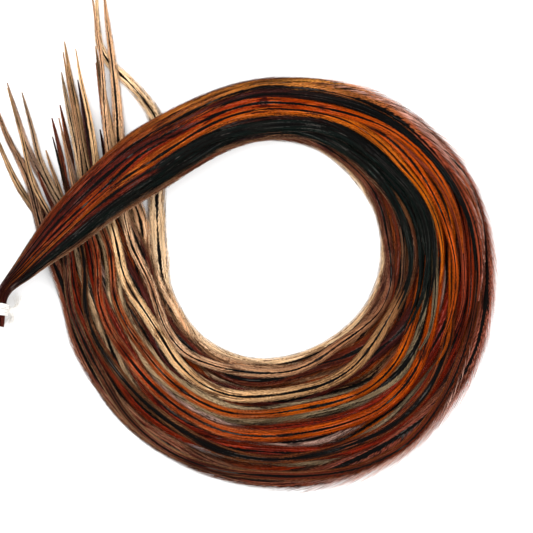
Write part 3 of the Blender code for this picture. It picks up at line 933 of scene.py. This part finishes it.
    def _shaft(self, curve: Source) -> bpy.types.Node:
        """Sweep the shaft along the spine, which is given as a curve."""
        add = self.add
        sparse = add(
            "GeometryNodeResampleCurve", {"Curve": curve, "Length": self.SHAFT_STEP * MM}, mode="LENGTH"
        )
        leaders = add(Kind.SEPARATE, [self._named(LOOSE, "FLOAT_VECTOR")])
        marked = add(Kind.STORE, [sparse, ALONG_BUNCH, leaders.outputs["Z"]])
        section = add(
            "GeometryNodeCurvePrimitiveCircle",
            {"Resolution": self.SHAFT_SIDES, "Radius": 1.0},
            mode="RADIUS",
        )
        around = add("GeometryNodeSplineParameter")
        section_marked = add(Kind.STORE, [section, BARB_EDGE, around.outputs["Factor"]])
        swept = add(
            "GeometryNodeCurveToMesh",
            {
                "Curve": marked,
                "Profile Curve": section_marked,
                "Scale": self._named(SHAFT_RADIUS),
                "Fill Caps": True,
            },
        )
        row = add(Kind.MULTIPLY_ADD, [self._named(BARB_EDGE), *self.SHAFT_ROWS])
        uv = add(Kind.COMBINE, [self._named(ALONG_BUNCH), row])
        mapped = add(Kind.STORE, [swept, UV_MAP, uv], data_type="FLOAT2", domain="CORNER")
        return add("GeometryNodeSetShadeSmooth", [mapped])


@dataclass
class Feather:
    """One hackle: its spine, read from the CAD solid, and how its barbs grow.

    Widths, lengths and reaches are in millimetres. Places along the bunch go from 0 at the butts to 1 at the
    longest tips.

    Attributes:
        node: The CAD node's name, which the piece stands for.
        rings: The solid's sections.
        rooms: How far a vane may reach to the left and right at each section, in metres.
        rng: The feather's own source of chance.
        seeds: How many seeds the barbs' chances may start from.
        step: How far the spine's points are apart.
        breadths: Heights of a feather's middle, each with how broad a feather below it is.
        roll_sway, roll_length: Degrees that the vanes roll to each side, and the length of one sway.
        loose, fan_loose, fluff_most: How far stray barbs stand past the vane, in half widths: anywhere, in
            the fan, and at most where the edge frays.
        edge_room: How near the outer edge of the loop a feather has to lie to fray.
        fluff_from, fluff_to, low_right, fan_from: Places where the fluff starts and ends, where it gets
            longer at the lower right of the loop, and where the fan starts.
        tangent_share: How far to each side, in shares of a span, the shaft's direction is taken.
    """

    node: str
    rings: list[Ring]
    rooms: list[tuple[float, float]]
    rng: random.Random
    seeds: int = 1000
    step: float = 1.0
    vane_width: float = 3.6
    width_spread: float = 0.15
    quill_width: float = 0.3
    quill_length: float = 9.0
    swell_length: float = 36.0
    taper_length: float = 72.0
    taper_power: float = 0.72
    breadths: tuple[tuple[float, float], ...] = ((1.6, 1.42), (3.1, 1.25), (3.9, 0.78))
    shaft_butt: float = 0.16
    shaft_thick: float = 0.17
    shaft_tip: float = 0.04
    roll_sway: float = 9.0
    roll_length: float = 70.0
    loose: float = 0.12
    edge_room: float = 4.2
    fluff_from: float = 0.34
    fluff_to: float = 0.64
    low_right: float = 0.51
    low_right_reach: float = 1.3
    fan_from: float = 0.84
    fan_loose: float = 0.3
    fluff_inset: float = 0.5
    fluff_reach: float = 1.1
    fluff_most: float = 1.7
    # How soon each change along the bunch is complete, and how the shaft thickens and tapers
    fluff_start: float = 0.04
    fluff_end: float = 0.06
    fan_start: float = 0.1
    low_right_start: float = 0.05
    thick_by: float = 1 / 6
    shaft_power: float = 1.3
    tangent_share: float = 0.05

    def stations(self) -> list[float]:
        """Place of each section along the bunch, from 0 at the butts to 1 at the longest tips."""
        regular = len(self.rings) - len(BASE_STATIONS)
        beyond = (BASE_STATIONS[-1] + (k + 1) * STATION_STEP for k in range(regular))
        return [station / LAST_STATION for station in (*BASE_STATIONS, *beyond)]

    def fluffiness(self, station: float) -> float:
        """How much the outer edge frays at a station, from 0 to 1."""
        started = smoothstep((station - self.fluff_from) / self.fluff_start)
        return started * smoothstep((self.fluff_to - station) / self.fluff_end)

    def half_widths(self, spans: list[float]) -> list[float]:
        """Half widths that the vanes have where nothing holds them in.

        Args:
            spans: The distance from each section to the next.

        Returns:
            Half a width for each section, in metres.
        """
        whole_width = self.vane_width * (1 + self.width_spread * self.rng.uniform(-1, 1)) * MM
        height = self.rings[len(self.rings) // 2].ridge.z
        whole_width *= next((breadth for below, breadth in self.breadths if height < below * MM), 1.0)
        whole, gone, halves = sum(spans), 0.0, []
        for span in (*spans, 0.0):
            swell = smoothstep((gone - self.quill_length * MM) / (self.swell_length * MM))
            taper = min(max(whole - gone, 0.0) / (self.taper_length * MM), 1.0) ** self.taper_power
            halves.append(
                (self.quill_width * MM + (whole_width - self.quill_width * MM) * swell * taper) / 2
            )
            gone += span
        return halves

    def leaders(self, spans: list[float]) -> list[tuple[float, ...]]:
        """Left and right half width, droop, left and right looseness and station at each section."""
        result = []
        for ring, half, (left, right), station in zip(
            self.rings, self.half_widths(spans), self.rooms, self.stations()
        ):
            frayed = self.fluffiness(station) if left < self.edge_room * MM else 0.0
            held_left = max(min(half, left - self.fluff_inset * MM * frayed), self.quill_width * MM / 2)
            held_right = max(min(half, right), self.quill_width * MM / 2)
            in_fan = smoothstep((station - self.fan_from) / self.fan_start)
            loose = self.loose + (self.fan_loose - self.loose) * in_fan
            longer = self.low_right_reach * smoothstep((station - self.low_right) / self.low_right_start)
            reach = (left + (self.fluff_reach + longer) * MM) / held_left - 1
            loose_left = loose + frayed * (min(reach, self.fluff_most) - loose)
            result.append((held_left, held_right, ring.slope, loose_left, loose, station))
        return result

    def spine(self) -> list[SpinePoint]:
        """Lay the shaft's points close together on the smooth line through the sections."""
        ridges = [ring.ridge for ring in self.rings]
        spans = [(after - before).length for before, after in zip(ridges, ridges[1:])]
        line = SmoothLine(ridges, spans)
        ways = SmoothLine([ring.across for ring in self.rings], spans)
        leaders = self.leaders(spans)
        roll_start = self.rng.uniform(0, math.tau)
        roll_mean = self.rng.uniform(-1, 1) * self.roll_sway
        whole = sum(spans)
        points, gone = [], 0.0
        for number, span in enumerate(spans):
            count = max(round(span / (self.step * MM)), 1)
            for k in range(count + (number == len(spans) - 1)):
                share = k / count
                here = gone + span * share
                ahead = line.at(number, min(share + self.tangent_share, 1.0))
                ahead -= line.at(number, max(share - self.tangent_share, 0.0))
                across = ways.at(number, share)
                across = (across - ahead * (across.dot(ahead) / ahead.length_squared)).normalized()
                turn = here / (self.roll_length * MM) * math.tau + roll_start
                roll = roll_mean + self.roll_sway * math.sin(turn)
                thin = smoothstep(here / whole / self.thick_by)
                radius = self.shaft_butt + (self.shaft_thick - self.shaft_butt) * thin
                radius += (self.shaft_tip - radius) * (here / whole) ** self.shaft_power
                across = Matrix.Rotation(math.radians(roll), 3, ahead.normalized()) @ across
                lead = [a + (b - a) * share for a, b in zip(leaders[number], leaders[number + 1])]
                points.append(SpinePoint(line.at(number, share), across, radius * MM, lead[:3], lead[3:]))
            gone += span
        return points

    def spine_object(self, name: str) -> bpy.types.Object:
        """Make the spine as a line of edges that carries the barbs' leaders."""
        points = self.spine()
        data = bpy.data.meshes.new(name)
        data.from_pydata([p.place for p in points], [(k, k + 1) for k in range(len(points) - 1)], [])
        for attribute, values in (
            (ACROSS, [tuple(p.across) for p in points]),
            (VANE, [p.vane for p in points]),
            (LOOSE, [p.loose for p in points]),
        ):
            layer = data.attributes.new(attribute, "FLOAT_VECTOR", "POINT")
            layer.data.foreach_set("vector", [number for value in values for number in value])
        radii = data.attributes.new(SHAFT_RADIUS, "FLOAT", "POINT")
        radii.data.foreach_set("value", [p.radius for p in points])
        return place_object(name, data)

    def build(self, barbs: BarbTree) -> bpy.types.Object:
        """Grow the feather and make it a plain mesh.

        Args:
            barbs: The shared tree.

        Returns:
            The finished piece, which stands for its CAD node.
        """
        spine = self.spine_object(f"{self.node}_spine")
        grower = spine.modifiers.new("barbs", "NODES")
        grower.node_group = barbs.tree
        for name, value in (
            ("Seed", self.rng.randrange(self.seeds)),
            ("Feather Tone", self.rng.uniform(-0.5, 0.5)),
            ("Finish", Plumage.of_node(self.node).value.material()),
        ):
            grower[barbs.inputs[name]] = value
        data = bpy.data.meshes.new_from_object(spine.evaluated_get(bpy.context.evaluated_depsgraph_get()))
        bpy.data.objects.remove(spine)
        for leader in LEADERS:
            found = data.attributes.get(leader)
            if found:
                data.attributes.remove(found)
        made = place_object(f"{self.node}_barbs", data)
        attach(made, BODY)
        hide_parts(self.node)
        return made


@dataclass
class Bunch:
    """All feathers of the bunch, in the places that the CAD gives them.

    Attributes:
        seed: The seed of the first feather's chances. Each feather's is one more.
        margin: How far a vane may pass the loop's outline, in millimetres.
        free_from: Number of the first section past the loop.
        butts: The place of the bound end, in metres.
    """

    seed: int = 5000
    margin: float = 0.2
    free_from: int = 32
    butts: Vector = field(default_factory=lambda: Vector((-61.0, -22.4, 2.4)) * MM)

    def read(self) -> dict[str, list[Ring]]:
        """Read every feather's sections, by node name."""
        names = sorted(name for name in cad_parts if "feather" in name)
        return {name: read_rings(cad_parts[name], self.butts) for name in names}

    def rooms(self, all_rings: dict[str, list[Ring]], node: str) -> list[tuple[float, float]]:
        """Find how far it is from a feather's shaft to a little outside the loop at each section.

        Past the loop, in the fan, nothing holds the feathers in.

        Args:
            all_rings: Every feather's sections.
            node: The feather.

        Returns:
            The room to the left and right, in metres.
        """
        rooms = []
        for number, ring in enumerate(all_rings[node]):
            if number >= self.free_from:
                rooms.append((1.0, 1.0))
                continue
            beside = [other[number] for other in all_rings.values() if len(other) > number + 1]
            left = max(((other.left - ring.ridge).dot(ring.across) for other in beside), default=1.0)
            right = max(((ring.ridge - other.right).dot(ring.across) for other in beside), default=1.0)
            rooms.append((left + self.margin * MM, right + self.margin * MM))
        return rooms

    def build(self) -> list[bpy.types.Object]:
        """Grow every feather."""
        barbs = BarbTree()
        all_rings = self.read()
        pieces = []
        for number, node in enumerate(all_rings):
            rng = random.Random(self.seed + number)
            feather = Feather(node, all_rings[node], self.rooms(all_rings, node), rng)
            piece = feather.build(barbs)
            LOG.info("%s: %d faces", piece.name, len(piece.data.polygons))
            pieces.append(piece)
        return pieces


@dataclass(frozen=True)
class CottonFinish:
    """Soft white cotton: matt and fuzzy, with painted shade that greys the hollows between its fibres."""

    name: str = "white cotton thread"
    slot: str = "cotton"
    light: str = "F6F4F0"
    # Grey of the painted shade in the hollows between the fibres
    shade: str = "D8D3CC"
    roughness: float = 0.95
    specular: float = 0.1

    # Cells of the noise are 0.4 mm wide, a thread's width: single fibres are 0.02 mm and too fine to show
    FIBRES = (2500.0, 3.0)
    # Strength and height of the bumps
    BUMPS = (0.4, 0.05 * MM)

    def material(self) -> bpy.types.Material:
        """Build the material."""
        made, add, feed_shader = new_material(self.name)
        fibres = add(Kind.NOISE_3D, [add("ShaderNodeTexCoord").outputs["Object"], *self.FIBRES])
        feed_shader(
            {
                # Painted shade: where the fibre noise is low, in the hollows of the bumps, the white is
                # mixed towards the grey
                "Base Color": add(Kind.MIX, [fibres, linear(self.shade), linear(self.light)]),
                "Normal": add(Kind.BUMP, [*self.BUMPS, fibres]),
                "Roughness": self.roughness,
                "Specular IOR Level": self.specular,
            }
        )
        return made


@dataclass
class CottonBinding:
    """White cotton thread wound round the quills, knotted at their side, with two frayed ends.

    Lengths are in millimetres. Spots of thread are in the binding's own frame: X to the right of the quills,
    Y up, Z along them. The quills' butts, the binding's middle and its height say where that frame is.
    """

    node: str = "cotton_binding"
    seed: int = 3
    butts: tuple[float, float] = (-60.94, -22.48)
    middle: tuple[float, float] = (-60.32, -18.35)
    height: float = 2.4
    thread: float = 0.17
    wound_radius: float = 2.2
    wound_length: float = 2.9
    turns: tuple[int, int] = (9, 7)
    turn_steps: int = 24
    unevenness: float = 0.05
    uneven_waves: tuple[float, float] = (0.7, 2.3)
    knot_place: tuple[float, float, float] = (2.5, -0.5, 0.1)
    knot_radius: float = 0.68
    knot_loops: int = 7
    loop_sizes: tuple[float, float] = (0.7, 1.0)
    fibres: int = 16
    fibre_radius: float = 0.06
    # How far the fibres come apart on each axis, how that grows, and their curl, taper and steps
    fray: tuple[float, float, float] = (0.75, 0.375, 0.45)
    fray_power: float = 1.6
    curl: float = 0.3
    curl_turns: float = 0.75
    fibre_taper: float = 1.6
    fibre_steps: int = 5
    above_floor: float = 0.03
    upper_end: Spots = ((2.6, -0.6, 0.4), (3.6, -1.4, 0.9), (4.3, -1.6, 2.1), (4.3, -1.8, 3.8))
    lower_end: Spots = ((2.5, -0.9, -0.2), (3.2, -1.6, -1.2), (3.0, -1.8, -3.2))

    def frame(self) -> Matrix:
        """Place the binding's own frame on the quills."""
        along = (Vector((*self.middle, 0)) - Vector((*self.butts, 0))).normalized()
        across = Vector((along.y, -along.x, 0))
        turn = Matrix((across, UP, along)).transposed().to_4x4()
        return Matrix.Translation(Vector((*self.middle, self.height)) * MM) @ turn

    def windings(self, rng: random.Random) -> list[Route]:
        """Two coats of turns, one over the other, that cross at a small angle."""
        coats = []
        for coat, turns in enumerate(self.turns):
            radius = self.wound_radius - (1 - coat) * self.thread
            way = 1 - 2 * coat
            phase = rng.uniform(0, math.tau)
            route = []
            for step in range(turns * self.turn_steps + 1):
                share = step / (turns * self.turn_steps)
                angle = way * share * turns * math.tau + phase
                slow, fast = (angle * waves for waves in self.uneven_waves)
                drift = self.unevenness * math.sin(slow + phase) + self.unevenness * math.sin(fast)
                along = (share - 0.5) * self.wound_length * way + drift
                route.append((radius * math.cos(angle), radius * math.sin(angle), along, self.thread))
            coats.append(route)
        return coats

    def knot(self, rng: random.Random) -> list[Route]:
        """Loops of thread pulled tight round one middle."""
        loops = []
        for _ in range(self.knot_loops):
            tilt = Matrix.Rotation(rng.uniform(0, math.pi), 3, "X")
            turn = tilt @ Matrix.Rotation(rng.uniform(0, math.pi), 3, "Z")
            radius = self.knot_radius * rng.uniform(*self.loop_sizes)
            loop = []
            for step in range(self.turn_steps + 1):
                angle = step / self.turn_steps * math.tau
                spot = turn @ Vector((math.cos(angle), math.sin(angle), 0)) * radius
                loop.append((*(spot + Vector(self.knot_place)), self.thread))
            loops.append(loop)
        return loops

    def frayed_end(self, course: Spots, rng: random.Random) -> list[Route]:
        """Fibres that leave the knot together and come apart towards their ends."""
        strands = []
        spots = [Vector(spot) for spot in course]
        spans = [(after - before).length for before, after in zip(spots, spots[1:])]
        line = SmoothLine(spots, spans)
        for _ in range(self.fibres):
            away = Vector([rng.gauss(0, spread) for spread in self.fray])
            curl = rng.uniform(-self.curl, self.curl)
            strand = []
            for number in range(len(spans)):
                for k in range(self.fibre_steps + (number == len(spans) - 1)):
                    share = (number + k / self.fibre_steps) / len(spans)
                    spot = line.at(number, k / self.fibre_steps) + away * share**self.fray_power
                    spot.x += curl * math.sin(share * math.tau * self.curl_turns)
                    spot.y = max(spot.y, self.fibre_radius + self.above_floor - self.height)
                    strand.append((*spot, self.fibre_radius * (self.fibre_taper - share)))
            strands.append(strand)
        return strands

    def build(self) -> bpy.types.Object:
        """Wind, knot and fray the thread, and make it one mesh that stands for the CAD node."""
        rng = random.Random(self.seed)
        routes = self.windings(rng) + self.knot(rng)
        routes += self.frayed_end(self.upper_end, rng) + self.frayed_end(self.lower_end, rng)
        curve = bpy.data.curves.new("thread", "CURVE")
        curve.dimensions = "3D"
        curve.bevel_depth = MM
        curve.bevel_resolution = 2
        curve.use_fill_caps = True
        own_frame = self.frame()
        for route in routes:
            spline = curve.splines.new("POLY")
            spline.points.add(len(route) - 1)
            for point, (x, y, z, radius) in zip(spline.points, route):
                point.co = (*(own_frame @ (Vector((x, y, z)) * MM)), 1.0)
                point.radius = radius
        holder = place_object("thread", curve)
        data = bpy.data.meshes.new_from_object(holder.evaluated_get(bpy.context.evaluated_depsgraph_get()))
        bpy.data.objects.remove(holder)
        finish = CottonFinish()
        data.materials.append(finish.material())
        data.shade_smooth()
        made = place_object(f"{self.node}_thread", data)
        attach(made, BODY)
        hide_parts(self.node)
        return made


@dataclass
class Studio:
    """The floor, the lights and the camera straight above.

    Sizes and places are in millimetres, except how far the camera sees, which is in metres.
    """

    view_middle: tuple[float, float] = (6.305, -7.725)
    view_width: float = 133.25
    camera_height: float = 1200.0
    sensor: float = 36.0
    sight: float = 10.0
    floor_size: float = 4000.0
    floor_colour: str = "FBFBFB"
    floor_roughness: float = 0.9
    sky_strength: float = 1.35

    def build(self) -> None:
        """Set up the studio."""
        self._floor()
        self._lights()
        self._camera()
        bpy.context.scene.view_settings.view_transform = "Standard"

    def _floor(self) -> None:
        """Lay a plain white floor."""
        half = self.floor_size / 2 * MM
        data = bpy.data.meshes.new("floor")
        corners = [(-half, -half, 0), (half, -half, 0), (half, half, 0), (-half, half, 0)]
        data.from_pydata(corners, [], [(0, 1, 2, 3)])
        finish, _, feed_shader = new_material("matt white board")
        feed_shader({"Base Color": linear(self.floor_colour), "Roughness": self.floor_roughness})
        data.materials.append(finish)
        floor = place_object("floor", data)

    def _lights(self) -> None:
        """Hang two large soft lights and an even sky."""
        for name, place, size, power in (
            ("window_light", (-520.0, 620.0, 760.0), 700.0, 6.5),
            ("fill_light", (620.0, -420.0, 700.0), 900.0, 3.0),
        ):
            data = bpy.data.lights.new(name, "AREA")
            data.shape = "DISK"
            data.size = size * MM
            data.energy = power
            lamp = place_object(name, data)
            lamp.location = Vector(place) * MM
            lamp.rotation_euler = (-lamp.location).to_track_quat("-Z", "Y").to_euler()
        sky = bpy.data.worlds.new("studio_sky")
        sky.use_nodes = True
        background = sky.node_tree.nodes["Background"]
        feed_node(sky.node_tree, background, {"Color": (1.0, 1.0, 1.0, 1.0), "Strength": self.sky_strength})
        bpy.context.scene.world = sky

    def _camera(self) -> None:
        """Look straight down with a long lens, with +Y up in the picture."""
        data = bpy.data.cameras.new("camera")
        data.sensor_width = self.sensor
        data.lens = self.sensor * self.camera_height / self.view_width
        data.clip_end = self.sight
        camera = place_object("camera", data)
        camera.location = Vector((*self.view_middle, self.camera_height)) * MM
        bpy.context.scene.camera = camera


def write_sizes() -> None:
    bpy.context.view_layer.update()


def main() -> None:
    """Build the looks around the frame."""
    logging.basicConfig(level=logging.INFO, format="%(name)s: %(message)s")
    pieces = [*Bunch().build(), CottonBinding().build()]
    LOG.info("%d pieces, %d faces in all", len(pieces), sum(len(p.data.polygons) for p in pieces))
    Studio().build()
    write_sizes()


if __name__ == "__main__":
    main()
